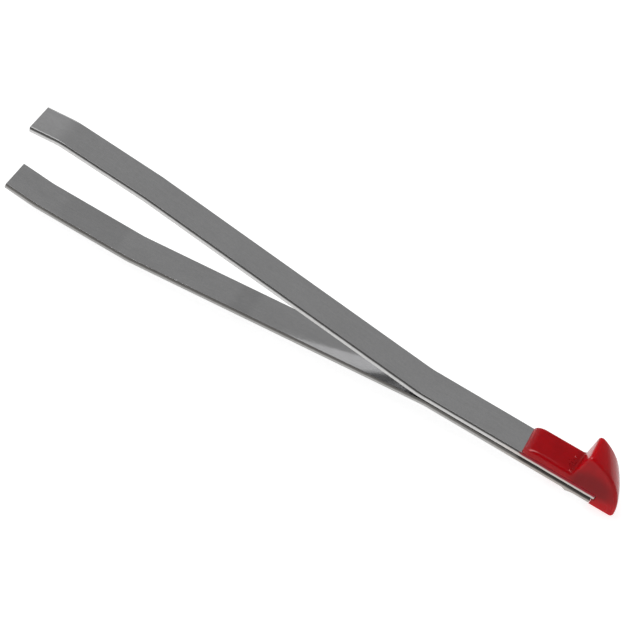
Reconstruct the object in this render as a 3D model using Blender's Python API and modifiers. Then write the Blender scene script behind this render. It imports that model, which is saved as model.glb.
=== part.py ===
"""Slide-out pocket-knife tweezers: two sprung steel strips held at one end by a moulded plastic head.

Frame: +X points along the strips towards the head, +Y across the strips' width, and +Z from the lower
arm to the upper arm. The origin is on the flat underside of the lower arm, halfway across its width,
directly below the end of the head that faces the tips. Each arm is a leaf spring, split just beyond its
first bend into a root, fixed to the head, and a blade, which turns about a hinge line across the strip.
The head's near side is at -Y and its far side at +Y. Sizes are in millimetres unless noted.
"""

import math

import bmesh
import bpy
from mathutils import Matrix, Vector

MM = 0.001  # metres
WELD_DISTANCE = 1e-6  # metres
SAME_X = 1e-6  # stations closer than this along X count as one
SHARP_ANGLE = math.radians(35)

# Strip stock
STRIP_WIDTH = 2.40
STRIP_THICK = 0.43
STRIP_GAP = 0.04  # between the two flat roots
STRIP_EDGE = 0.035  # broken edge
STRIP_EDGE_ANGLE = math.radians(60)  # only corners sharper than this are broken
BEND_RADIUS = 5.0  # of the arm's outer face at each bend
BEND_STEPS = 6

# Arms: each bend is the X where its tangents meet and the heading after it towards the tip,
# in degrees, positive away from the other arm
UPPER_ARM = {
    "root_end": 5.46,
    "bends": [(-7.55, 7.19), (-28.77, 3.92), (-35.37, -5.97)],
    "tip": -37.54,
}
LOWER_ARM = {
    "root_end": 5.30,
    "bends": [(-6.87, 6.70), (-28.46, 0.47), (-35.58, -5.27)],
    "tip": -37.98,
}
HINGE_X = -12.6
HINGE_SLIT = 0.06  # between a root and its blade
HINGE_MARK = 2.0  # display size of the hinge empties

UPPER_ROOT_BASE = STRIP_THICK + STRIP_GAP
UPPER_ROOT_TOP = UPPER_ROOT_BASE + STRIP_THICK

# Moulded head
PAD_TOP = 1.48
PAD_LENGTH_NEAR = 3.41
PAD_LENGTH_FAR = 3.72
PAD_NOSE_RADIUS = 0.50
HOOK_PEAK_NEAR = 3.82
HOOK_PEAK_FAR = 3.89
CROWN_NEAR = (3.29, -0.04, 3.76)  # centre x, centre z and radius of the outer curve, near side
CROWN_FAR = (2.62, 0.10, 3.64)  # the same, far side
CROWN_SWEEP = 1.7  # how late the crown turns away towards the far side
LIP_BELOW = 0.15  # how far the head reaches below the lower arm
LIP_CORNER = 0.26
VALLEY_RADIUS = 0.22  # between the pad and the hook
PEAK_RADIUS = 0.20
POCKET_CLEAR = 0.03
POCKET_TOP = UPPER_ROOT_TOP + POCKET_CLEAR
HEAD_EDGE = 0.20  # rounding of the head's two sides
NOSE_STEPS = 6
FILLET_STEPS = 4
CROWN_STEPS = 14
LIP_STEPS = 4
EDGE_STEPS = 3
FLAT_STEPS = 6  # across the width, between the rounded edges

# Stud moulded with the head, through both roots: a straight shank, and a stake that flares downwards
STUD_X = 2.75
STUD_RADIUS = 0.55
STUD_CLEAR = 0.03
STUD_SIDES = 40
STUD_RECESS = 0.03  # from the lower arm's underside up to the stake
SHANK_OVERLAP = 0.20  # how far the shank reaches into the head
STAKE_RADIUS = 0.78
STAKE_DEPTH = 0.24
STAKE_OFFSET = 0.01  # keeps the faces of shank and stake from coinciding
HOLE_LOW = -1.0
HOLE_HIGH = 2.0
SINK_EXTRA = 0.5  # how far the sink cutter runs on below and around the stake
SINK_INSET = 0.02  # how far the sink's top is narrower than the hole


def clear_scene():
    for obj in list(bpy.data.objects):
        bpy.data.objects.remove(obj, do_unlink=True)


def new_collection(name):
    made = bpy.data.collections.new(name)
    bpy.context.scene.collection.children.link(made)
    return made


# --- Materials --------------------------------------------------------------------------------------


def new_material(name, colour, roughness, metallic):
    made = bpy.data.materials.new(name)
    made.use_nodes = True
    shader = made.node_tree.nodes["Principled BSDF"]
    shader.inputs["Base Color"].default_value = (*colour, 1.0)
    shader.inputs["Roughness"].default_value = roughness
    shader.inputs["Metallic"].default_value = metallic
    made.diffuse_color = (*colour, 1.0)
    return made


def steel_material(name, colour):
    return new_material(name, colour, roughness=0.34, metallic=1.0)


def plastic_material():
    return new_material("red_plastic", colour=(0.42, 0.012, 0.020), roughness=0.18, metallic=0.0)


def finish(obj, material):
    obj.data.materials.append(material)
    obj.data.shade_smooth()
    obj.data.set_sharp_from_angle(angle=SHARP_ANGLE)


# --- Modifiers and round tools ----------------------------------------------------------------------


def break_edges(obj):
    bevel = obj.modifiers.new("broken_edges", "BEVEL")
    bevel.width = STRIP_EDGE * MM
    bevel.segments = 1
    bevel.limit_method = "ANGLE"
    bevel.angle_limit = STRIP_EDGE_ANGLE


def add_boolean(obj, tool, verb, operation):
    boolean = obj.modifiers.new(f"{verb}_{tool.name}", "BOOLEAN")
    boolean.operation = operation
    boolean.solver = "EXACT"
    boolean.object = tool


def round_tool(name, low, high, radius, top_radius, collection):
    """A hidden upright cylinder or cone on the stud's axis, between two heights."""
    bpy.ops.mesh.primitive_cone_add(
        vertices=STUD_SIDES,
        radius1=radius * MM,
        radius2=top_radius * MM,
        depth=(high - low) * MM,
        location=(STUD_X * MM, 0.0, (low + high) / 2 * MM),
    )
    made = bpy.context.object
    made.name = made.data.name = name
    for other in list(made.users_collection):
        other.objects.unlink(made)
    collection.objects.link(made)
    made.hide_render = True
    made.display_type = "WIRE"
    return made


def stud_hole(cutters):
    radius = STUD_RADIUS + STUD_CLEAR
    return round_tool("stud_hole", HOLE_LOW, HOLE_HIGH, radius, radius, cutters)


def stake_sink(cutters):
    return round_tool(
        "stake_sink",
        low=STUD_RECESS - SINK_EXTRA,
        high=STUD_RECESS + STAKE_DEPTH + STUD_CLEAR,
        radius=STAKE_RADIUS + STUD_CLEAR + SINK_EXTRA,
        top_radius=STUD_RADIUS + STUD_CLEAR - SINK_INSET,
        collection=cutters,
    )


def stud_shank(cutters):
    low = STUD_RECESS + STAKE_OFFSET
    high = POCKET_TOP + SHANK_OVERLAP
    return round_tool("stud_shank", low, high, STUD_RADIUS, STUD_RADIUS, cutters)


def stud_stake(cutters):
    return round_tool(
        "stud_stake",
        low=STUD_RECESS,
        high=STUD_RECESS + STAKE_DEPTH,
        radius=STAKE_RADIUS,
        top_radius=STUD_RADIUS - STAKE_OFFSET,
        collection=cutters,
    )


# --- Arms -------------------------------------------------------------------------------------------


class ArmPath:
    """The outer face of an arm, seen from the side, from its root end towards its tip.

    Its points are (x, height), with height measured away from the other arm.
    """

    def __init__(self, arm):
        self.corners = [(arm["root_end"], 0.0)]
        self.headings = [0.0]
        for x, heading in arm["bends"]:
            self._add(x)
            self.headings.append(math.radians(heading))
        self._add(arm["tip"])

    def _add(self, x):
        last_x, last_z = self.corners[-1]
        self.corners.append((x, last_z + (last_x - x) * math.tan(self.headings[-1])))

    @staticmethod
    def along(heading):
        return Vector((-math.cos(heading), math.sin(heading)))

    @staticmethod
    def outward(heading):
        return Vector((math.sin(heading), math.cos(heading)))

    def stations(self):
        """(point, heading) down the outer face, with an arc at each bend."""
        found = [(Vector(self.corners[0]), self.headings[0])]
        for number in range(1, len(self.headings)):
            before, after = self.headings[number - 1], self.headings[number]
            corner = Vector(self.corners[number])
            side = 1.0 if after > before else -1.0
            reach = BEND_RADIUS * math.tan(abs(after - before) / 2)
            start = corner - self.along(before) * reach
            centre = start + self.outward(before) * side * BEND_RADIUS
            for step in range(BEND_STEPS + 1):
                heading = before + (after - before) * step / BEND_STEPS
                found.append((centre - self.outward(heading) * side * BEND_RADIUS, heading))
        found.append((Vector(self.corners[-1]), self.headings[-1]))
        return found

    def at(self, x):
        """The point of the outer face at this x, on a straight stretch, and its heading."""
        run = self.stations()
        for (start, heading), (stop, _) in zip(run, run[1:]):
            if stop.x <= x <= start.x:
                return start + (stop - start) * ((start.x - x) / (start.x - stop.x)), heading
        raise ValueError("x is off the arm")

    def piece(self, first_x=None, last_x=None):
        """The closed side outline of the stretch from first_x to last_x."""
        run = self.stations()
        if first_x is not None:
            run = [self.at(first_x)] + [s for s in run if s[0].x < first_x - SAME_X]
        if last_x is not None:
            run = [s for s in run if s[0].x > last_x + SAME_X] + [self.at(last_x)]
        outer = [point for point, _ in run]
        inner = [point - self.outward(heading) * STRIP_THICK for point, heading in run]
        return outer + inner[::-1]


def strip_curve(name, points):
    """A closed outline in the XZ plane, as a filled 2D curve extruded to the strip's width."""
    curve = bpy.data.curves.new(name, "CURVE")
    curve.dimensions = "2D"
    curve.fill_mode = "BOTH"
    curve.extrude = STRIP_WIDTH / 2 * MM
    spline = curve.splines.new("POLY")
    spline.points.add(len(points) - 1)
    for spot, (x, z) in zip(spline.points, points):
        spot.co = (x * MM, z * MM, 0.0, 1.0)
    spline.use_cyclic_u = True
    obj = bpy.data.objects.new(name, curve)
    obj.rotation_euler = (math.pi / 2, 0.0, 0.0)
    return obj


def as_mesh(obj, collection):
    """Replaces the curve object by a welded mesh object of the same name and place."""
    bpy.context.scene.collection.objects.link(obj)
    bpy.context.view_layer.update()
    graph = bpy.context.evaluated_depsgraph_get()
    mesh = bpy.data.meshes.new_from_object(obj.evaluated_get(graph))
    name, place = obj.name, obj.matrix_world.copy()
    bpy.data.objects.remove(obj, do_unlink=True)
    mesh.transform(place)
    work = bmesh.new()
    work.from_mesh(mesh)
    bmesh.ops.remove_doubles(work, verts=work.verts, dist=WELD_DISTANCE)
    bmesh.ops.recalc_face_normals(work, faces=work.faces)
    work.to_mesh(mesh)
    work.free()
    mesh.name = name
    made = bpy.data.objects.new(name, mesh)
    collection.objects.link(made)
    return made


def hang_blade(blade, name, place, parts):
    """Hangs the blade from an empty on its hinge line: turning the empty about Y flexes the arm."""
    empty = bpy.data.objects.new(name, None)
    empty.empty_display_size = HINGE_MARK * MM
    empty.location = place
    parts.objects.link(empty)
    blade.data.transform(Matrix.Translation(-place))
    blade.parent = empty


def make_arm(label, arm, flip, lift, root_cutters, parts, steel):
    """Builds one arm and returns its root. flip is -1 for an arm mirrored in Z."""
    path = ArmPath(arm)
    face, heading = path.at(HINGE_X)
    half_slit = HINGE_SLIT / 2 * math.cos(heading)

    def strip(name, outline):
        placed = [(point.x, lift + flip * point.y) for point in outline]
        return as_mesh(strip_curve(name, placed), parts)

    root = strip(label + "_root", path.piece(last_x=HINGE_X + half_slit))
    blade = strip(label + "_blade", path.piece(first_x=HINGE_X - half_slit))
    pivot = face - path.outward(heading) * (STRIP_THICK / 2)
    hinge = Vector((pivot.x * MM, 0.0, (lift + flip * pivot.y) * MM))
    hang_blade(blade, label + "_hinge", hinge, parts)

    for cutter in root_cutters:
        add_boolean(root, cutter, "cut", "DIFFERENCE")
    for obj in (root, blade):
        finish(obj, steel)
        break_edges(obj)
    return root


# --- Head -------------------------------------------------------------------------------------------


def mix(near, far, share):
    return near + (far - near) * share


def fillet(before, corner, after, radius):
    """The points of an arc that rounds off a corner of an outline."""
    one, two = (before - corner).normalized(), (after - corner).normalized()
    half = one.angle(two) / 2
    centre = corner + (one + two).normalized() * (radius / math.sin(half))
    start = corner + one * (radius / math.tan(half)) - centre
    stop = corner + two * (radius / math.tan(half)) - centre
    turn = start.angle_signed(stop)
    return [
        centre + Matrix.Rotation(-turn * step / FILLET_STEPS, 2) @ start
        for step in range(FILLET_STEPS + 1)
    ]


def arc(centre_x, centre_z, radius, start, stop, steps):
    """The points of an arc between two angles, both ends included."""
    points = []
    for step in range(steps + 1):
        angle = start + (stop - start) * step / steps
        x = centre_x + radius * math.cos(angle)
        z = centre_z + radius * math.sin(angle)
        points.append(Vector((x, z)))
    return points


def crown_arc(across):
    """The head's outer curve, from the hook's peak down to the lip's corner."""
    share = across**CROWN_SWEEP
    centre_x, centre_z, radius = (mix(n, f, share) for n, f in zip(CROWN_NEAR, CROWN_FAR))
    start = math.acos((mix(HOOK_PEAK_NEAR, HOOK_PEAK_FAR, across) - centre_x) / radius)
    stop = math.asin((LIP_CORNER - LIP_BELOW - centre_z) / radius)
    return arc(centre_x, centre_z, radius, start, stop, CROWN_STEPS)


def head_outline(across):
    """The head's side outline at across = 0 (near side) to 1 (far side).

    It runs clockwise, seen from the near side, from the foot of the pad's nose, always with the same
    number of points. With it come the directions each point may move in when the outline is drawn
    in to round the sides: the pocket that seats the strips stays square.
    """
    # The nose of the pad is rounded, where a thumb slides over it
    nose_z = PAD_TOP - PAD_NOSE_RADIUS
    nose = arc(PAD_NOSE_RADIUS, nose_z, PAD_NOSE_RADIUS, math.pi, math.pi / 2, NOSE_STEPS)
    valley = Vector((mix(PAD_LENGTH_NEAR, PAD_LENGTH_FAR, across), PAD_TOP))
    crown = crown_arc(across)
    corner_x = crown[-1].x - LIP_CORNER
    corner_z = LIP_CORNER - LIP_BELOW
    lip = arc(corner_x, corner_z, LIP_CORNER, 0.0, -math.pi / 2, LIP_STEPS)

    points = [Vector((0.0, POCKET_TOP))] + nose
    points += fillet(nose[-1], valley, crown[0], VALLEY_RADIUS)
    points += fillet(valley, crown[0], crown[1], PEAK_RADIUS)
    points += crown[1:] + lip[1:]
    free = [(1, 0)] + [(1, 1)] * (len(points) - 1) + [(0, 1)] + [(0, 0)] * 3

    # The pocket is stepped, because the two roots end at different places
    lower_stop = LOWER_ARM["root_end"] + POCKET_CLEAR
    upper_stop = UPPER_ARM["root_end"] + POCKET_CLEAR
    step_z = STRIP_THICK + STRIP_GAP / 2
    points += [
        Vector((lower_stop, -LIP_BELOW)),
        Vector((lower_stop, step_z)),
        Vector((upper_stop, step_z)),
        Vector((upper_stop, POCKET_TOP)),
    ]
    return points, free


def drawn_in(points, free, distance):
    """The outline with its free points moved in by this distance, square to its sides."""
    moved = []
    for number, (point, (free_x, free_z)) in enumerate(zip(points, free)):
        before = (point - points[number - 1]).normalized()
        after = (points[(number + 1) % len(points)] - point).normalized()
        if not (free_x and free_z):
            # Only the side that is itself drawn in counts
            before = after = after if free_x else before
        one, two = Vector((before.y, -before.x)), Vector((after.y, -after.x))
        step = (one + two) / (1 + one.dot(two)) * distance
        moved.append(point + Vector((step.x * free_x, step.y * free_z)))
    return moved


def head_sections():
    """(share of the width, how far the outline is drawn in) from the near side to the far side."""
    edge = []
    for step in range(EDGE_STEPS + 1):
        angle = (math.pi / 2) * (1 - step / EDGE_STEPS)
        across = HEAD_EDGE * (1 - math.sin(angle)) / STRIP_WIDTH
        edge.append((across, HEAD_EDGE * (1 - math.cos(angle))))
    inner = HEAD_EDGE / STRIP_WIDTH
    flat = [(inner + (1 - 2 * inner) * n / FLAT_STEPS, 0.0) for n in range(1, FLAT_STEPS)]
    return edge + flat + [(1 - across, distance) for across, distance in edge[::-1]]


def head_mesh():
    """A loft of side outlines, because the crown turns away across the width."""
    work = bmesh.new()
    rings = []
    for across, distance in head_sections():
        points = drawn_in(*head_outline(across), distance)
        y = (across - 0.5) * STRIP_WIDTH * MM
        rings.append([work.verts.new((p.x * MM, y, p.y * MM)) for p in points])
    for one, two in zip(rings, rings[1:]):
        for number in range(len(one)):
            after = (number + 1) % len(one)
            work.faces.new((one[number], one[after], two[after], two[number]))
    work.faces.new(rings[0])
    work.faces.new(rings[-1][::-1])
    bmesh.ops.recalc_face_normals(work, faces=work.faces)
    mesh = bpy.data.meshes.new("head")
    work.to_mesh(mesh)
    work.free()
    return mesh


def make_head(parts, cutters, plastic):
    head = bpy.data.objects.new("head", head_mesh())
    parts.objects.link(head)
    for joined in (stud_shank(cutters), stud_stake(cutters)):
        add_boolean(head, joined, "join", "UNION")
    finish(head, plastic)
    return head


def main():
    clear_scene()
    parts = new_collection("pocket_knife_tweezers")
    cutters = new_collection("cutters")
    upper_steel = steel_material("spring_steel", colour=(0.46, 0.46, 0.47))
    lower_steel = steel_material("spring_steel_lower", colour=(0.43, 0.43, 0.44))

    hole = stud_hole(cutters)
    sink = stake_sink(cutters)
    head = make_head(parts, cutters, plastic_material())
    roots = (
        make_arm("upper_arm", UPPER_ARM, 1, UPPER_ROOT_TOP, [hole], parts, upper_steel),
        make_arm("lower_arm", LOWER_ARM, -1, 0.0, [hole, sink], parts, lower_steel),
    )
    for root in roots:
        root.parent = head


main()
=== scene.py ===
"""Looks for the slide-out pocket-knife tweezers: two rolled steel strips and a moulded red plastic head."""

import math

import bmesh
import bpy
import numpy as np
from mathutils import Matrix, Vector


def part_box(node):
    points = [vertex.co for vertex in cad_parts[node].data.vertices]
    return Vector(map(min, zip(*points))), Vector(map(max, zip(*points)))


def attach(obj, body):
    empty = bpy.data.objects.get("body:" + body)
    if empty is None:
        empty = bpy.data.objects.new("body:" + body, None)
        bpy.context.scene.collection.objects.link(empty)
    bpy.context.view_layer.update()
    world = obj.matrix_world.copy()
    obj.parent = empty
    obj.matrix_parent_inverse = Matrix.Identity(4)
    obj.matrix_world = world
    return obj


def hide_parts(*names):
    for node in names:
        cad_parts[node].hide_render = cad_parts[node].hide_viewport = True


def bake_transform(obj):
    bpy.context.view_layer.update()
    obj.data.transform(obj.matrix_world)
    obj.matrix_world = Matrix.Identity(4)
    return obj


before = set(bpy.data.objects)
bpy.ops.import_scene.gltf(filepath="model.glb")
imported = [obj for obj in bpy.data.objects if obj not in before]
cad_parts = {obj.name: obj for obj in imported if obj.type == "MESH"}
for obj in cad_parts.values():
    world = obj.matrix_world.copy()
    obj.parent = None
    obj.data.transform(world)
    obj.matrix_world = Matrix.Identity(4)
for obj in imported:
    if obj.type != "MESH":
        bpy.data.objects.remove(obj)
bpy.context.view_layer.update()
MM = 0.001

# --------------------------------------------------------------------------- sizes, taken from the CAD frame
head_lo, head_hi = (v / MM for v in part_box("head"))
root_lo, root_hi = (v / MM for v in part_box("upper_arm_root"))
low_lo, low_hi = (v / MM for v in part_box("lower_arm_root"))
tip_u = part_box("upper_arm_blade")[0].x / MM
tip_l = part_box("lower_arm_blade")[0].x / MM
WIDTH = root_hi.y - root_lo.y
THICK = 0.43
GAP = root_lo.z - low_hi.z
UPPER_TOP = THICK + GAP + THICK
UPPER_ARM = {"root_end": root_hi.x, "bends": [(-7.55, 7.19), (-28.77, 3.92), (-35.37, -5.97)], "tip": tip_u}
LOWER_ARM = {"root_end": low_hi.x, "bends": [(-6.87, 6.70), (-28.46, 0.47), (-35.58, -5.27)], "tip": tip_l}
BEND_RADIUS = 5.0

PAD_TOP = 1.48
PAD_LENGTH = (3.41, 3.64)
NOSE_RADIUS = 0.50
PEAK_X = (3.82, 3.80)
CROWN = ((3.29, 2.62), (-0.04, 0.10), (3.76, 3.64))
CROWN_SWEEP = 1.7
LIP_BELOW = 0.15
LIP_CORNER = 0.26
POCKET_CLEAR = 0.03
HEAD_EDGE = 0.20
VALLEY_RADIUS = 0.22
PEAK_RADIUS = 0.25
STUD_X = 2.75


def mix(pair, share):
    return pair[0] + (pair[1] - pair[0]) * share


# --------------------------------------------------------------------------- node helpers
class Nodes:
    """Short names for building a shader."""

    def __init__(self, tree):
        self.tree = tree
        self.tree.nodes.clear()

    def add(self, kind, **settings):
        node = self.tree.nodes.new(kind)
        for key, value in settings.items():
            setattr(node, key, value)
        return node

    def put(self, socket, value):
        if isinstance(value, bpy.types.NodeSocket):
            self.tree.links.new(value, socket)
        else:
            socket.default_value = value

    def math(self, operation, a, b=0.0, c=0.0, clamp=False):
        node = self.add("ShaderNodeMath", operation=operation, use_clamp=clamp)
        for socket, value in zip(node.inputs, (a, b, c)):
            self.put(socket, value)
        return node.outputs[0]

    def vector(self, operation, a, b=(0.0, 0.0, 0.0)):
        node = self.add("ShaderNodeVectorMath", operation=operation)
        self.put(node.inputs[0], a)
        self.put(node.inputs[1], b)
        return node.outputs["Value"] if operation in ("DOT_PRODUCT", "LENGTH", "DISTANCE") else node.outputs[0]

    def smooth(self, value, low, high, to_low=0.0, to_high=1.0):
        node = self.add("ShaderNodeMapRange", interpolation_type="SMOOTHSTEP")
        for socket, item in zip(node.inputs, (value, low, high, to_low, to_high)):
            self.put(socket, item)
        return node.outputs[0]

    def linear(self, value, low, high, to_low=0.0, to_high=1.0):
        node = self.add("ShaderNodeMapRange")
        for socket, item in zip(node.inputs, (value, low, high, to_low, to_high)):
            self.put(socket, item)
        return node.outputs[0]

    def blend(self, factor, a, b, mode="MIX"):
        node = self.add("ShaderNodeMix", data_type="RGBA", blend_type=mode)
        self.put(node.inputs[0], factor)
        self.put(node.inputs[6], a)
        self.put(node.inputs[7], b)
        return node.outputs[2]

    def noise(self, place, scale, detail=3.0, rough=0.5, kind="3D"):
        node = self.add("ShaderNodeTexNoise", noise_dimensions=kind)
        self.put(node.inputs["Vector"], place)
        self.put(node.inputs["Scale"], scale)
        self.put(node.inputs["Detail"], detail)
        self.put(node.inputs["Roughness"], rough)
        return node.outputs["Fac"]

    def scaled(self, place, factors):
        node = self.add("ShaderNodeVectorMath", operation="MULTIPLY")
        self.put(node.inputs[0], place)
        self.put(node.inputs[1], factors)
        return node.outputs[0]

    def split(self, place):
        node = self.add("ShaderNodeSeparateXYZ")
        self.put(node.inputs[0], place)
        return node.outputs

    def bump(self, height, strength, distance, normal=None):
        node = self.add("ShaderNodeBump")
        self.put(node.inputs["Strength"], strength)
        self.put(node.inputs["Distance"], distance)
        self.put(node.inputs["Height"], height)
        if normal is not None:
            self.put(node.inputs["Normal"], normal)
        return node.outputs[0]


def grey(value):
    return (value, value, value, 1.0)


def in_mm(n):
    """The point being shaded, in millimetres in the row frame."""
    return n.scaled(n.add("ShaderNodeTexCoord").outputs["Object"], (1000.0, 1000.0, 1000.0))


def new_material(name):
    made = bpy.data.materials.new(name)
    made.use_nodes = True
    n = Nodes(made.node_tree)
    out = n.add("ShaderNodeOutputMaterial")
    shader = n.add("ShaderNodeBsdfPrincipled")
    n.put(out.inputs[0], shader.outputs[0])
    return made, n, shader


def steel_face(name, tone, seed, tip, darker_spans=()):
    """Rolled spring steel: nearly a mirror, with a fine lengthwise grain, faint smears and a few hairline scratches."""
    made, n, shader = new_material(name)
    place = in_mm(n)
    offset = n.vector("ADD", place, (seed * 7.3, seed * 3.1, 0.0))
    grain = n.noise(n.scaled(offset, (0.55, 30.0, 4.0)), 1.0, 5.0, 0.62)
    fine = n.noise(n.scaled(offset, (2.2, 90.0, 12.0)), 1.0, 3.0, 0.6)
    cloud = n.noise(n.scaled(offset, (0.30, 0.5, 0.5)), 1.0, 4.0, 0.55)
    patch = n.noise(n.scaled(offset, (1.6, 2.2, 2.2)), 1.0, 3.0, 0.5)
    scratch_noise = n.noise(n.scaled(offset, (0.16, 7.0, 1.0)), 1.0, 1.0, 0.4)
    scratch = n.smooth(n.math("ABSOLUTE", n.math("SUBTRACT", scratch_noise, 0.5)), 0.0, 0.006, 1.0, 0.0)
    scratch = n.math("MULTIPLY", scratch, n.smooth(n.noise(offset, 0.35, 1.0), 0.56, 0.64))
    tint = n.linear(grain, 0.25, 0.75, 0.940, 1.048)
    tint = n.math("MULTIPLY", tint, n.linear(cloud, 0.3, 0.7, 0.965, 1.03))
    tint = n.math("MULTIPLY", tint, n.linear(fine, 0.3, 0.7, 0.985, 1.015))
    tint = n.math("MULTIPLY", tint, n.linear(patch, 0.25, 0.45, 0.975, 1.0))
    tint = n.math("MULTIPLY", tint, n.linear(n.noise(offset, 5.5, 2.0, 0.55), 0.3, 0.7, 0.972, 1.028))
    tint = n.math("SUBTRACT", tint, n.math("MULTIPLY", scratch, 0.05))
    # the outer face is darker along the given stretches of its length
    for start, stop, share in darker_spans:
        on = n.smooth(n.split(place)[0], start - 0.5, start + 0.2)
        on = n.math("MULTIPLY", on, n.smooth(n.split(place)[0], stop - 0.2, stop + 0.5, 1.0, 0.0))
        on = n.math("MULTIPLY", on, n.linear(patch, 0.3, 0.7, 0.7, 1.2))
        tint = n.math("MULTIPLY", tint, n.math("SUBTRACT", 1.0, n.math("MULTIPLY", on, share)))
    # the last stretch of the outer face is brighter
    tint = n.math("MULTIPLY", tint, n.smooth(n.split(place)[0], -36.1, -34.9, tip, 1.0))
    # its long edges there are duller and a little darker
    dull = n.smooth(n.math("ABSOLUTE", n.split(place)[1]), 1.07, 1.13)
    dull = n.math("MULTIPLY", dull, n.smooth(n.split(place)[0], -35.6, -33.8, 1.0 if tip != 1.0 else 0.0, 0.0))
    tint = n.math("MULTIPLY", tint, n.math("SUBTRACT", 1.0, n.math("MULTIPLY", dull, 0.18)))
    colour = n.add("ShaderNodeVectorMath", operation="SCALE")
    n.put(colour.inputs[0], tuple(tone))
    n.put(colour.inputs["Scale"], tint)
    n.put(shader.inputs["Base Color"], colour.outputs[0])
    rough = n.linear(grain, 0.3, 0.7, 0.105, 0.15)
    rough = n.math("ADD", rough, n.linear(patch, 0.35, 0.65, -0.01, 0.02))
    n.put(shader.inputs["Roughness"], n.math("MAXIMUM", rough, n.math("MULTIPLY", dull, 0.6)))
    n.put(shader.inputs["Metallic"], 1.0)
    height = n.math("ADD", n.math("MULTIPLY", grain, 0.6), n.math("MULTIPLY", fine, 0.4))
    normal = n.bump(height, 0.25, 0.000002)
    normal = n.bump(scratch, -0.5, 0.000002, normal)
    n.put(shader.inputs["Normal"], normal)
    return made


def steel_edge(name, dark, bright, ramp, drop, tip=0.0):
    """The sheared edge of the strip: a painted dark line at its top, painted shade standing in for the dark reflection
    on its rounded corner, then upright tear marks on a brighter band.
    """
    made, n, shader = new_material(name)
    place = in_mm(n)
    down = n.add("ShaderNodeAttribute", attribute_name="down").outputs["Fac"]
    x = n.split(place)[0]
    wander = n.noise(n.scaled(place, (1.1, 0.0, 0.0)), 1.0, 3.0, 0.6)
    from_top = down
    down = n.math("ADD", down, n.linear(wander, 0.3, 0.7, -0.015, 0.015))
    tear = n.noise(n.scaled(place, (14.0, 1.0, 1.6)), 1.0, 4.0, 0.6)
    fine = n.noise(n.scaled(place, (45.0, 6.0, 7.0)), 1.0, 3.0, 0.6)
    long_run = n.noise(n.scaled(place, (0.4, 1.0, 14.0)), 1.0, 3.0, 0.5)
    # painted reflection: near the head the bright band is tinted warm, standing in for the red head seen in it
    head_reflection = n.smooth(x, -2.5, 0.5)
    beside = n.smooth(x, -0.25, 0.15)  # beside the head, where the plastic overhangs the edge
    at_tip = n.math("MULTIPLY", n.smooth(x, -36.4, -34.6, 1.0, 0.0), 0.03 if tip else 0.0)
    down = n.math("SUBTRACT", down, at_tip)
    # painted shade: the top of the edge is painted dark, reaching deeper beside the head
    share = n.smooth(n.math("SUBTRACT", down, n.math("MULTIPLY", beside, drop[0])), ramp[0], ramp[1])
    # painted shade: beside the head the lower part of the edge is painted very dark, standing in for the shade under
    # the plastic and between the strips
    foot = n.math("MULTIPLY", beside, n.smooth(down, drop[1], drop[2]))
    band = n.blend(head_reflection, (*bright, 1.0), (bright[0] * 1.04, bright[1] * 0.97, bright[2] * 0.93, 1.0))
    deep = (dark[0] * 0.40, dark[1] * 0.38, dark[2] * 0.36, 1.0)
    painted_red_reflection = (0.25, 0.024, 0.032, 1.0) if tip else deep  # on the upper strip the top line beside the head is painted dark red, a painted reflection of the red head
    base = n.blend(share, n.blend(beside, (*dark, 1.0), painted_red_reflection), band)
    base = n.blend(foot, base, deep)
    if tip:
        # painted highlight: near the tip the top of the edge is painted light grey, standing in for a bright line of
        # reflected light
        tip_highlight = n.math("MULTIPLY", n.smooth(from_top, 0.015, 0.075, 1.0, 0.0), n.smooth(x, -36.2, -34.2, 1.0, 0.0))
        base = n.blend(n.math("MULTIPLY", tip_highlight, tip), base, (0.26, 0.26, 0.26, 1.0))
    tint = n.math("MULTIPLY", n.linear(tear, 0.3, 0.7, 0.92, 1.06), n.linear(long_run, 0.3, 0.7, 0.95, 1.04))
    colour = n.add("ShaderNodeVectorMath", operation="SCALE")
    n.put(colour.inputs[0], base)
    n.put(colour.inputs["Scale"], tint)
    n.put(shader.inputs["Base Color"], colour.outputs[0])
    n.put(shader.inputs["Metallic"], 1.0)
    rough = n.linear(fine, 0.3, 0.7, 0.26, 0.38)
    n.put(shader.inputs["Roughness"], n.math("MAXIMUM", rough, n.smooth(tip_highlight, 0.0, 0.25, 0.0, 0.75)) if tip else rough)
    height = n.math("ADD", n.math("MULTIPLY", tear, 0.7), n.math("MULTIPLY", fine, 0.3))
    n.put(shader.inputs["Normal"], n.bump(height, n.smooth(from_top, 0.03, 0.12, 0.03, 0.35), 0.000004))
    return made


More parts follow.
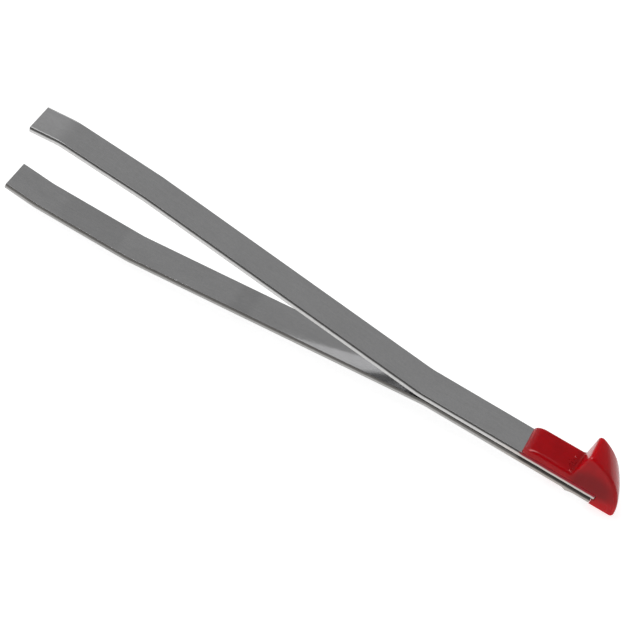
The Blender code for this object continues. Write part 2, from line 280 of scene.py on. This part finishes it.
def red_plastic(name, mark):
    """Glossy moulded plastic, a little light passing through it, with faint rub marks and a rough gate scar."""
    made, n, shader = new_material(name)
    place = in_mm(n)
    cloud = n.noise(place, 0.7, 3.0, 0.5)
    swirl = n.noise(n.scaled(place, (1.0, 1.8, 1.2)), 2.6, 4.0, 0.6)
    peel = n.noise(place, 7.0, 2.0, 0.5)
    grit = n.noise(place, 42.0, 3.0, 0.65)
    rub_place = n.scaled(place, (0.8, 9.0, 9.0))
    rub = n.smooth(n.math("ABSOLUTE", n.math("SUBTRACT", n.noise(rub_place, 1.0, 2.0, 0.4), 0.5)), 0.0, 0.01, 1.0, 0.0)
    rub = n.math("MULTIPLY", rub, n.smooth(n.noise(place, 0.9, 1.0), 0.52, 0.62))
    base = n.blend(n.linear(cloud, 0.3, 0.7), RED_DEEP, RED_WARM)
    base = n.blend(n.math("MULTIPLY", n.linear(swirl, 0.35, 0.75), 0.2), base, RED_DARK)
    # painted shade: the body of the hook is thick, so it is painted darker, standing in for the light that comes back
    # out of it less
    where = n.split(place)
    depth = n.vector("DISTANCE", n.scaled(place, (0.85, 0.0, 1.1)), (4.85 * 0.85, 0.0, 1.35 * 1.1))
    thick = n.smooth(depth, 0.75, 1.65, 1.0, 0.0)
    base = n.blend(n.math("MULTIPLY", thick, 0.72), base, RED_DARK)
    # painted light: the narrow foot and the peak are painted lighter, standing in for more light coming back out of
    # them
    foot = n.math("MULTIPLY", n.smooth(where[2], 1.15, 0.35), n.smooth(where[0], 4.9, 5.7))
    peak = n.math("MULTIPLY", n.smooth(where[2], 3.0, 3.7), n.smooth(where[0], 3.75, 3.95))
    base = n.blend(n.math("MAXIMUM", n.math("MULTIPLY", foot, 0.55), n.math("MULTIPLY", peak, 0.45)), base, RED_LIT)
    # the gate scar: small pits in an oval on the pad
    flat = n.vector("DISTANCE", n.scaled(place, (1.0, 0.72, 0.0)), (mark[0], mark[1] * 0.72, 0.0))
    scar = n.smooth(flat, mark[2] * 0.75, mark[2] * 1.15, 1.0, 0.0)
    scar = n.math("MULTIPLY", scar, n.smooth(where[2], 1.36, 1.40))
    scar = n.math("MULTIPLY", scar, n.smooth(where[2], 1.60, 1.56))
    # painted shade: inside the pits the colour is painted darker
    pit_shade = n.math("MULTIPLY", scar, n.smooth(where[2], PAD_TOP - 0.004, PAD_TOP - 0.014))
    base = n.blend(n.math("MULTIPLY", pit_shade, 0.55), base, RED_PIT_SHADE)
    # painted highlights: the raised pips and the pad's near edge close to the nose are painted pale, standing in for
    # glints of light
    on_pad = n.math("MULTIPLY", n.smooth(where[0], 3.45, 3.40), n.smooth(where[2], PAD_TOP + 0.045, PAD_TOP + 0.035))
    pip_glint = 0.0
    for x, y in PIPS:
        away = n.vector("DISTANCE", n.scaled(place, (1.0, 1.0, 0.0)), (x, y, 0.0))
        pip_glint = n.math("MAXIMUM", pip_glint, n.smooth(away, 0.070, 0.095, 1.0, 0.0))
    pip_glint = n.math("MULTIPLY", on_pad, n.math("MULTIPLY", pip_glint, n.smooth(where[2], PAD_TOP + 0.008, PAD_TOP + 0.020)))
    edge_y = n.math("ADD", n.linear(where[0], 0.30, 0.62, -1.165, -1.07), n.linear(where[0], 0.62, 1.30, 0.0, 0.11))
    edge_highlight = n.smooth(n.math("ABSOLUTE", n.math("SUBTRACT", where[1], edge_y)), 0.015, 0.075, 1.0, 0.0)
    edge_highlight = n.math("MULTIPLY", edge_highlight, n.smooth(where[0], 0.20, 0.42))
    edge_highlight = n.math("MULTIPLY", edge_highlight, n.smooth(where[0], 0.50, 1.10, 1.0, 0.10))
    edge_highlight = n.math("MULTIPLY", edge_highlight, n.smooth(where[0], 1.6, 2.9, 1.0, 0.0))
    edge_highlight = n.math("MULTIPLY", edge_highlight, n.smooth(where[2], PAD_TOP - 0.14, PAD_TOP - 0.08))
    # painted highlight: a pale spot at the hook's near peak corner
    corner = n.smooth(n.vector("DISTANCE", place, (3.88, -1.12, 3.62)), 0.03, 0.12, 1.0, 0.0)
    painted_highlight = n.math("MAXIMUM", n.math("MULTIPLY", pip_glint, 0.9), n.math("MULTIPLY", edge_highlight, 0.75))
    painted_highlight = n.math("MAXIMUM", painted_highlight, n.math("MULTIPLY", corner, 0.5))
    base = n.blend(painted_highlight, base, RED_HIGHLIGHT)
    crisp = n.math("MAXIMUM", scar, painted_highlight)
    # painted sheen: the feather edge over the strip is painted greyish pink, standing in for a sheen of reflected light
    nose_sheen = n.math("MULTIPLY", n.smooth(where[0], 0.05, 0.55, 1.0, 0.0), n.smooth(where[2], 0.9, 1.35, 0.6, 1.0))
    base = n.blend(n.math("MULTIPLY", nose_sheen, 0.55), base, RED_SHEEN)
    n.put(shader.inputs["Base Color"], base)
    rough = n.linear(peel, 0.3, 0.7, 0.12, 0.18)
    rough = n.math("ADD", rough, n.math("MULTIPLY", n.linear(swirl, 0.4, 0.7, 0.0, 1.0), 0.04))
    rough = n.math("ADD", rough, n.math("MULTIPLY", scar, 0.08))
    rough = n.math("ADD", rough, n.math("MULTIPLY", rub, 0.10))
    n.put(shader.inputs["Roughness"], rough)
    n.put(shader.inputs["IOR"], 1.45)
    n.put(shader.inputs["Specular IOR Level"], 0.19)
    n.put(shader.inputs["Subsurface Weight"], n.math("MULTIPLY", 0.6, n.math("SUBTRACT", 1.0, n.math("MULTIPLY", crisp, 0.9))))
    n.put(shader.inputs["Subsurface Radius"], (1.0, 0.08, 0.06))
    n.put(shader.inputs["Subsurface Scale"], 0.0007)
    normal = n.bump(peel, 0.2, 0.000010)
    normal = n.bump(grit, n.math("ADD", 0.05, n.math("MULTIPLY", scar, 0.4)), 0.000006, normal)
    normal = n.bump(rub, -0.25, 0.000003, normal)
    n.put(shader.inputs["Normal"], normal)
    return made


RED_DEEP = (0.405, 0.0020, 0.0060, 1.0)
RED_WARM = (0.462, 0.0028, 0.0068, 1.0)
RED_DARK = (0.200, 0.0012, 0.0034, 1.0)
RED_PIT_SHADE = (0.130, 0.0030, 0.0050, 1.0)
RED_SHEEN = (0.300, 0.0480, 0.0560, 1.0)
RED_LIT = (0.640, 0.0030, 0.0085, 1.0)
RED_HIGHLIGHT = (0.900, 0.2600, 0.2700, 1.0)
PIPS = ((3.16, 0.33), (3.23, -0.958))  # two tiny raised pips on the pad
MARK = (3.20, -0.30, 0.34)  # the gate scar's centre and radius on the pad, in millimetres

steel_upper = steel_face("rolled_steel_upper", (0.595, 0.595, 0.599), 1.0, 1.22)
steel_lower = steel_face("rolled_steel_lower", (0.580, 0.580, 0.584), 2.0, 1.0, ((-33.9, -29.6, 0.07), (-20.9, -19.8, 0.11)))
# the lower strip's edge is a darker copy of the same steel edge, painted shade standing in for the shaded floor it
# reflects
sheared_upper = steel_edge("sheared_steel_upper", (0.070, 0.069, 0.067), (0.530, 0.525, 0.520), (0.10, 0.23), (0.055, 0.34, 0.42), 0.50)
sheared_lower = steel_edge("sheared_steel_lower", (0.112, 0.107, 0.101), (0.390, 0.384, 0.376), (0.12, 0.31), (0.0, 1.0, 2.0))
plastic = red_plastic("moulded_red", MARK)


# --------------------------------------------------------------------------- meshes
def finished(name, work, materials, angle=40.0):
    mesh = bpy.data.meshes.new(name)
    bmesh.ops.recalc_face_normals(work, faces=work.faces)
    work.to_mesh(mesh)
    work.free()
    for material in materials:
        mesh.materials.append(material)
    obj = bpy.data.objects.new(name, mesh)
    bpy.context.scene.collection.objects.link(obj)
    mesh.shade_smooth()
    mesh.set_sharp_from_angle(angle=math.radians(angle))
    return obj


def apply_modifiers(obj, angle=40.0):
    bpy.context.view_layer.update()
    graph = bpy.context.evaluated_depsgraph_get()
    mesh = bpy.data.meshes.new_from_object(obj.evaluated_get(graph))
    obj.modifiers.clear()
    obj.data = mesh
    mesh.shade_smooth()
    mesh.set_sharp_from_angle(angle=math.radians(angle))


def boolean(obj, helper, operation):
    modifier = obj.modifiers.new(operation.lower(), "BOOLEAN")
    modifier.operation = operation
    modifier.solver = "EXACT"
    modifier.object = helper


def upright(name, x, y, profile, sides=64):
    """A turned helper: rings of (radius, z) stacked upwards, capped at both ends."""
    work = bmesh.new()
    rings = []
    for radius, z in profile:
        rings.append(
            [
                work.verts.new(
                    (
                        (x + radius * math.cos(2 * math.pi * k / sides)) * MM,
                        (y + radius * math.sin(2 * math.pi * k / sides)) * MM,
                        z * MM,
                    )
                )
                for k in range(sides)
            ]
        )
    for one, two in zip(rings, rings[1:]):
        for k in range(sides):
            work.faces.new((one[k], one[(k + 1) % sides], two[(k + 1) % sides], two[k]))
    work.faces.new(rings[0][::-1])
    work.faces.new(rings[-1])
    return finished(name, work, [])


def along(heading):
    return Vector((-math.cos(heading), math.sin(heading)))


def outward(heading):
    return Vector((math.sin(heading), math.cos(heading)))


def arm_stations(arm, spacing=0.28, arc_steps=8):
    """(point on the outer face, heading) from the root end to the tip, close enough to bend smoothly."""
    corners, headings = [Vector((arm["root_end"], 0.0))], [0.0]
    for x, heading in arm["bends"]:
        last = corners[-1]
        corners.append(Vector((x, last.y + (last.x - x) * math.tan(headings[-1]))))
        headings.append(math.radians(heading))
    last = corners[-1]
    corners.append(Vector((arm["tip"], last.y + (last.x - arm["tip"]) * math.tan(headings[-1]))))
    marks = [(corners[0], 0.0)]
    for number in range(1, len(headings)):
        before, after = headings[number - 1], headings[number]
        side = 1.0 if after > before else -1.0
        reach = BEND_RADIUS * math.tan(abs(after - before) / 2)
        start = corners[number] - along(before) * reach
        centre = start + outward(before) * side * BEND_RADIUS
        for step in range(arc_steps + 1):
            heading = before + (after - before) * step / arc_steps
            marks.append((centre - outward(heading) * side * BEND_RADIUS, heading))
    marks.append((corners[-1], headings[-1]))
    found = []
    for (a, heading), (b, later) in zip(marks, marks[1:]):
        count = max(1, int((b - a).length / spacing)) if abs(heading - later) < 1e-9 else 1
        found += [(a.lerp(b, k / count), heading) for k in range(count)]
    return found + [marks[-1]]


EDGE_ACROSS, EDGE_DEEP = 0.030, 0.070  # a sheared edge is drawn over more through the strip than across it


def strip_loop(inset, steps=6):
    """The strip's cross-section as (across, depth below the outer face), drawn in by inset, with rounded corners."""
    half, low, high = WIDTH / 2 - inset, inset, THICK - inset
    wide = max(EDGE_ACROSS - inset * 0.3, 0.012)
    deep = max(EDGE_DEEP - inset, 0.03)
    loop = []
    for cx, cd, start in (
        (-half + wide, low + deep, 180.0),
        (half - wide, low + deep, 270.0),
        (half - wide, high - deep, 0.0),
        (-half + wide, high - deep, 90.0),
    ):
        for step in range(steps + 1):
            angle = math.radians(start + 90.0 * step / steps)
            loop.append((cx + wide * math.cos(angle), cd + deep * math.sin(angle)))
        # loops close to each rounded corner keep the flats flat
        here = Vector(loop[-1])
        if start in (180.0, 0.0):
            there = Vector((half - wide if start == 180.0 else -half + wide, here.y))
            shares = (0.006, 0.2, 0.4, 0.6, 0.8, 0.994)
        else:
            there = Vector((here.x, high - deep if start == 270.0 else low + deep))
            shares = (0.15, 0.5, 0.85)
        loop += [tuple(here.lerp(there, share)) for share in shares]
    return loop


def make_strip(name, arm, lift, flip, materials, nib=None):
    run = arm_stations(arm)
    rounding = 0.05
    ends = []
    for step in range(4):
        angle = (math.pi / 2) * (1 - step / 3)
        ends.append((rounding * (1 - math.sin(angle)), rounding * (1 - math.cos(angle))))
    first, first_heading = run[0]
    last, last_heading = run[-1]
    stations = [(first + along(first_heading) * s, first_heading, d) for s, d in ends]
    stations += [(p, h, 0.0) for p, h in run[1:-1]]
    stations += [(last - along(last_heading) * s, last_heading, d) for s, d in ends[::-1]]
    work = bmesh.new()
    down = work.verts.layers.float.new("down")
    rings = []
    for point, heading, inset in stations:
        ring = []
        for across, depth in strip_loop(inset):
            spot = point - outward(heading) * depth
            z = spot.y
            if nib and across < 0 and depth < 0.14:
                # a small burr left where the strip was parted, on the outer near edge
                rise = math.exp(-(((spot.x - nib[0]) / nib[1]) ** 4)) * nib[2]
                z += rise * max(0.0, 1 - depth / 0.14) * max(0.0, min(1.0, (-across - WIDTH / 2 + 0.25) / 0.2))
            ring.append(work.verts.new((spot.x * MM, across * MM, (lift + flip * z) * MM)))
            ring[-1][down] = depth if flip > 0 else THICK - depth
        rings.append(ring)
    count = len(rings[0])
    for one, two in zip(rings, rings[1:]):
        for k in range(count):
            face = work.faces.new((one[k], one[(k + 1) % count], two[(k + 1) % count], two[k]))
            sideways = abs((one[k].co.y + one[(k + 1) % count].co.y) / 2) > (WIDTH / 2 - 0.8 * EDGE_ACROSS) * MM
            face.material_index = 1 if sideways else 0
    for ring in (rings[0], rings[-1]):
        face = work.faces.new(ring)
        face.material_index = 1
    return finished(name, work, materials, 50.0)


def fillet(before, corner, after, radius, steps):
    one, two = (before - corner).normalized(), (after - corner).normalized()
    half = one.angle(two) / 2
    centre = corner + (one + two).normalized() * (radius / math.sin(half))
    start = corner + one * (radius / math.tan(half)) - centre
    stop = corner + two * (radius / math.tan(half)) - centre
    turn = start.angle_signed(stop)
    return [centre + Matrix.Rotation(-turn * step / steps, 2) @ start for step in range(steps + 1)]


NOSE_STEPS, CROWN_STEPS, LIP_STEPS, ROUND_STEPS = 12, 44, 10, 8


def head_outline(across):
    share = across**CROWN_SWEEP
    base = UPPER_TOP + POCKET_CLEAR
    points = [Vector((0.0, base))]
    for step in range(NOSE_STEPS + 1):
        angle = math.pi - (math.pi / 2) * step / NOSE_STEPS
        run = NOSE_RADIUS * (1.0 + 0.7 * max(0.0, 1.0 - (1.0 - across) * WIDTH / 1.0) ** 2)  # longer at the far corner
        points.append(Vector((run * (1 + math.cos(angle)), PAD_TOP - NOSE_RADIUS * (1 - math.sin(angle)))))
    valley = Vector((mix(PAD_LENGTH, across), PAD_TOP))
    centre_x, centre_z, radius = (mix(pair, share) for pair in CROWN)
    start = math.acos((mix(PEAK_X, across) - centre_x) / radius)
    stop = math.asin((LIP_CORNER - LIP_BELOW - centre_z) / radius)
    crown = []
    for step in range(CROWN_STEPS + 1):
        # a longer first step leaves room for the rounded peak
        part = step / CROWN_STEPS
        part = 0.0 if step == 0 else 0.09 + 0.91 * (step - 1) / (CROWN_STEPS - 1)
        angle = start + (stop - start) * part
        crown.append(Vector((centre_x + radius * math.cos(angle), centre_z + radius * math.sin(angle))))
    points += fillet(points[-1], valley, crown[0], VALLEY_RADIUS, ROUND_STEPS)
    points += fillet(valley, crown[0], crown[1], PEAK_RADIUS, ROUND_STEPS)
    points += crown[1:]
    corner_x = crown[-1].x - LIP_CORNER
    for step in range(1, LIP_STEPS + 1):
        angle = -(math.pi / 2) * step / LIP_STEPS
        points.append(
            Vector((corner_x + LIP_CORNER * math.cos(angle), LIP_CORNER * (1 + math.sin(angle)) - LIP_BELOW))
        )
    lower_stop = LOWER_ARM["root_end"] + POCKET_CLEAR
    upper_stop = UPPER_ARM["root_end"] + POCKET_CLEAR
    step_z = THICK + GAP / 2
    nose = 1.0 + 0.5 * share
    free = [(1, 0)] + [(nose, nose)] * (NOSE_STEPS + 1)
    free += [(1, 1)] * (2 * (ROUND_STEPS + 1))
    free += [(1.0 + 0.45 * min(1.0, k / 14), 1.0 + 0.45 * min(1.0, k / 14)) for k in range(CROWN_STEPS)]
    free += [(1.45, 1.2)] + [(1.3, 1.0)] * (LIP_STEPS - 1)
    free += [(0, 1)] + [(0, 0)] * 3
    points += [
        Vector((lower_stop, -LIP_BELOW)),
        Vector((lower_stop, step_z)),
        Vector((upper_stop, step_z)),
        Vector((upper_stop, base)),
    ]
    return points, free


def drawn_in(points, free, distance):
    moved = []
    for number, (point, (free_x, free_z)) in enumerate(zip(points, free)):
        before = (point - points[number - 1]).normalized()
        after = (points[(number + 1) % len(points)] - point).normalized()
        if not (free_x and free_z):
            before = after = after if free_x else before
        one, two = Vector((before.y, -before.x)), Vector((after.y, -after.x))
        step = (one + two) / (1 + one.dot(two)) * distance
        moved.append(point + Vector((step.x * free_x, step.y * free_z)))
    return moved


def head_sections(edge_steps=7, flat_steps=22):
    edge = []
    for step in range(edge_steps + 1):
        angle = (math.pi / 2) * (1 - step / edge_steps)
        edge.append((HEAD_EDGE * (1 - math.sin(angle)) / WIDTH, HEAD_EDGE * (1 - math.cos(angle))))
    inner = HEAD_EDGE / WIDTH
    flat = [(inner + (1 - 2 * inner) * k / flat_steps, 0.0) for k in range(1, flat_steps)]
    return edge + flat + [(1 - across, distance) for across, distance in edge[::-1]]


def round_pip(name, x, y):
    """A tiny raised pip left by the mould on the pad."""
    work = bmesh.new()
    bmesh.ops.create_uvsphere(work, u_segments=20, v_segments=12, radius=0.075 * MM)
    bmesh.ops.scale(work, vec=(1.0, 1.0, 0.7), verts=work.verts)
    bmesh.ops.translate(work, vec=(x * MM, y * MM, (PAD_TOP + 0.004) * MM), verts=work.verts)
    return finished(name, work, [plastic])


def pit_field(name):
    """Small pits where the plastic was torn from the gate, set out like the seeds of a sunflower in an oval."""
    x, y, radius = MARK
    work = bmesh.new()
    for k in range(1, 32):
        reach, angle = radius * math.sqrt(k / 33) * (1 + 0.10 * math.sin(k * 5.3)), k * 2.39996
        size = 0.036 + 0.012 * math.sin(k * 1.7)
        made = bmesh.ops.create_uvsphere(work, u_segments=16, v_segments=10, radius=size * MM)
        spot = Vector((x + reach * math.cos(angle), y + reach * math.sin(angle) / 0.72, PAD_TOP + 0.006))
        bmesh.ops.translate(work, vec=spot * MM, verts=made["verts"])
    return finished(name, work, [])


def make_head():
    # worked a thousand times larger, because Booleans and cap filling go wrong on such tiny coordinates
    global MM
    MM = 1.0
    work = bmesh.new()
    rings = []
    for across, distance in head_sections():
        points, free = head_outline(across)
        y = (across - 0.5) * WIDTH * MM
        rings.append([work.verts.new((p.x * MM, y, p.y * MM)) for p in drawn_in(points, free, distance)])
    count = len(rings[0])
    for one, two in zip(rings, rings[1:]):
        for k in range(count):
            work.faces.new((one[k], one[(k + 1) % count], two[(k + 1) % count], two[k]))
    work.faces.new(rings[0])
    work.faces.new(rings[-1][::-1])
    head = finished("plastic_head", work, [plastic])
    seat = UPPER_TOP + POCKET_CLEAR
    stud = upright(
        "stud_form",
        STUD_X,
        0.0,
        [(0.70, 0.030), (0.765, 0.036), (0.78, 0.060), (0.56, 0.26), (0.55, 0.28), (0.55, seat + 0.2)],
    )
    scar = pit_field("scar_form")
    pips = [round_pip(name, x, y) for name, x, y in (("pip_far", *PIPS[0]), ("pip_near", *PIPS[1]))]
    for pip in pips:
        boolean(head, pip, "UNION")
    boolean(head, stud, "UNION")
    boolean(head, scar, "DIFFERENCE")
    apply_modifiers(head, 32.0)
    if not head.data.polygons:
        raise ValueError("the Booleans left nothing of the head")
    MM = 0.001
    head.data.transform(Matrix.Diagonal((MM, MM, MM, 1.0)))
    for helper in (stud, scar, *pips):
        bpy.data.objects.remove(helper, do_unlink=True)
    return head


head = make_head()
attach(head, "head")
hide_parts("head")

upper = make_strip("upper_arm_strip", UPPER_ARM, UPPER_TOP, 1.0, [steel_upper, sheared_upper])
lower = make_strip("lower_arm_strip", LOWER_ARM, 0.0, -1.0, [steel_lower, sheared_lower], nib=(3.68, 0.20, 0.13))
hole = upright("hole_form", STUD_X, 0.0, [(0.58, -1.0), (0.58, 2.0)])
sink = upright("sink_form", STUD_X, 0.0, [(1.31, -0.47), (0.83, 0.018), (0.56, 0.30)])
boolean(upper, hole, "DIFFERENCE")
boolean(lower, hole, "DIFFERENCE")
boolean(lower, sink, "DIFFERENCE")
for strip in (upper, lower):
    apply_modifiers(strip, 50.0)
for helper in (hole, sink):
    bpy.data.objects.remove(helper, do_unlink=True)

for strip, body, joint, nodes in (
    (upper, "upper_arm", "upper_arm_flex", ("upper_arm_root", "upper_arm_blade")),
    (lower, "lower_arm", "lower_arm_flex", ("lower_arm_root", "lower_arm_blade")),
):
    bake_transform(strip)
    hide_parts(*nodes)

# --------------------------------------------------------------------------- floor, light and camera
FLOOR_GLOW = 0.80
lip_point = Vector((head_hi.x, 0.0, head_lo.z))
ridges, at_x, at_z, heading = [], LOWER_ARM["root_end"], 0.0, 0.0
for bend_x, next_heading in LOWER_ARM["bends"]:
    at_z -= (at_x - bend_x) * math.tan(math.radians(heading))
    at_x, heading = bend_x, next_heading
    ridges.append(Vector((at_x, 0.0, at_z)))
# the tweezers rest on the head's lip and on whichever bend comes down first
low_point = max(ridges, key=lambda ridge: (lip_point.z - ridge.z) / (lip_point.x - ridge.x))
slope = math.atan2(lip_point.z - low_point.z, lip_point.x - low_point.x)
bpy.ops.mesh.primitive_plane_add(size=3.0, location=(0.0, 0.0, 0.0))
floor = bpy.context.object
floor.name = "floor"
floor.rotation_euler = (0.0, -slope, 0.0)
floor.location = (low_point + Vector((0.0, 0.0, -0.01))) * MM
floor_paint, n, shader = new_material("pale_floor")
n.put(shader.inputs["Base Color"], (0.45, 0.45, 0.45, 1.0))
n.put(shader.inputs["Roughness"], 0.9)
n.put(shader.inputs["Specular IOR Level"], 0.1)
n.put(shader.inputs["Emission Color"], (1.0, 1.0, 1.0, 1.0))
n.put(shader.inputs["Emission Strength"], FLOOR_GLOW)
floor.data.materials.append(floor_paint)

TO_CAMERA = Vector((0.07551, -0.69003, 0.71984)).normalized()
world = bpy.data.worlds.new("soft_studio")
bpy.context.scene.world = world
world.use_nodes = True
n = Nodes(world.node_tree)
out = n.add("ShaderNodeOutputWorld")
background = n.add("ShaderNodeBackground")
n.put(out.inputs[0], background.outputs[0])
direction = n.add("ShaderNodeTexCoord").outputs["Generated"]
back, up_part = n.split(direction)[1], n.split(direction)[2]
side = n.split(direction)[0]
level = n.smooth(back, 0.05, 0.45, 0.20, 0.337)
horizon = n.math("MULTIPLY", n.smooth(up_part, 0.35, 0.02, 0.0, 0.50), n.smooth(back, -0.1, 0.5))
level = n.math("MAXIMUM", level, horizon)
near_camera = n.smooth(n.vector("DOT_PRODUCT", direction, tuple(TO_CAMERA)), 0.86, 0.96, 1.0, 0.15)
level = n.math("MULTIPLY", level, near_camera)
low_front = n.math("MULTIPLY", n.smooth(up_part, 0.58, 0.36), n.smooth(back, 0.0, -0.4))
level = n.math("MAXIMUM", level, n.math("MULTIPLY", low_front, 0.34))
overhead = n.vector("DOT_PRODUCT", direction, tuple(Vector((-0.18, 0.20, 0.96)).normalized()))
level = n.math("ADD", level, n.smooth(overhead, 0.90, 0.975, 0.0, 0.9))
fill = n.vector("DOT_PRODUCT", direction, tuple(Vector((0.90, 0.10, 0.42)).normalized()))
level = n.math("ADD", level, n.smooth(fill, 0.75, 0.95, 0.0, 0.48))
n.put(background.inputs["Color"], (1.0, 1.0, 1.0, 1.0))
# behind the floor's far edge the camera sees plain white, which lights nothing
seen = n.add("ShaderNodeLightPath").outputs["Is Camera Ray"]
n.put(background.inputs["Strength"], n.linear(seen, 0.0, 1.0, level, 1.04))

for name, place, size, power in (
    ("key_softbox", (-0.23, 0.07, 0.39), 0.105, 0.52),
    ("left_softbox", (-0.40, -0.06, 0.20), 0.22, 0.55),
):
    lamp = bpy.data.lights.new(name, "AREA")
    lamp.shape = "RECTANGLE"
    lamp.size = size
    lamp.size_y = size
    lamp.energy = power
    box = bpy.data.objects.new(name, lamp)
    box.location = place
    box.rotation_euler = Vector(place).to_track_quat("Z", "Y").to_euler()
    bpy.context.scene.collection.objects.link(box)

scene = bpy.context.scene
scene.view_settings.view_transform = "Standard"
scene.view_settings.look = "None"

camera_data = bpy.data.cameras.new("camera")
camera_data.sensor_width = 36.0
camera_data.lens = 129.674
camera_data.clip_start = 0.005
camera_data.clip_end = 10.0
camera = bpy.data.objects.new("camera", camera_data)
scene.collection.objects.link(camera)
right = Vector((0.85958, 0.41093, 0.30374))
up = Vector((-0.50539, 0.59582, 0.62416))
camera.matrix_world = Matrix(
    (
        (right.x, up.x, TO_CAMERA.x, -5.1024 * MM),
        (right.y, up.y, TO_CAMERA.y, -100.2274 * MM),
        (right.z, up.z, TO_CAMERA.z, 105.5524 * MM),
        (0.0, 0.0, 0.0, 1.0),
    )
)
scene.camera = camera
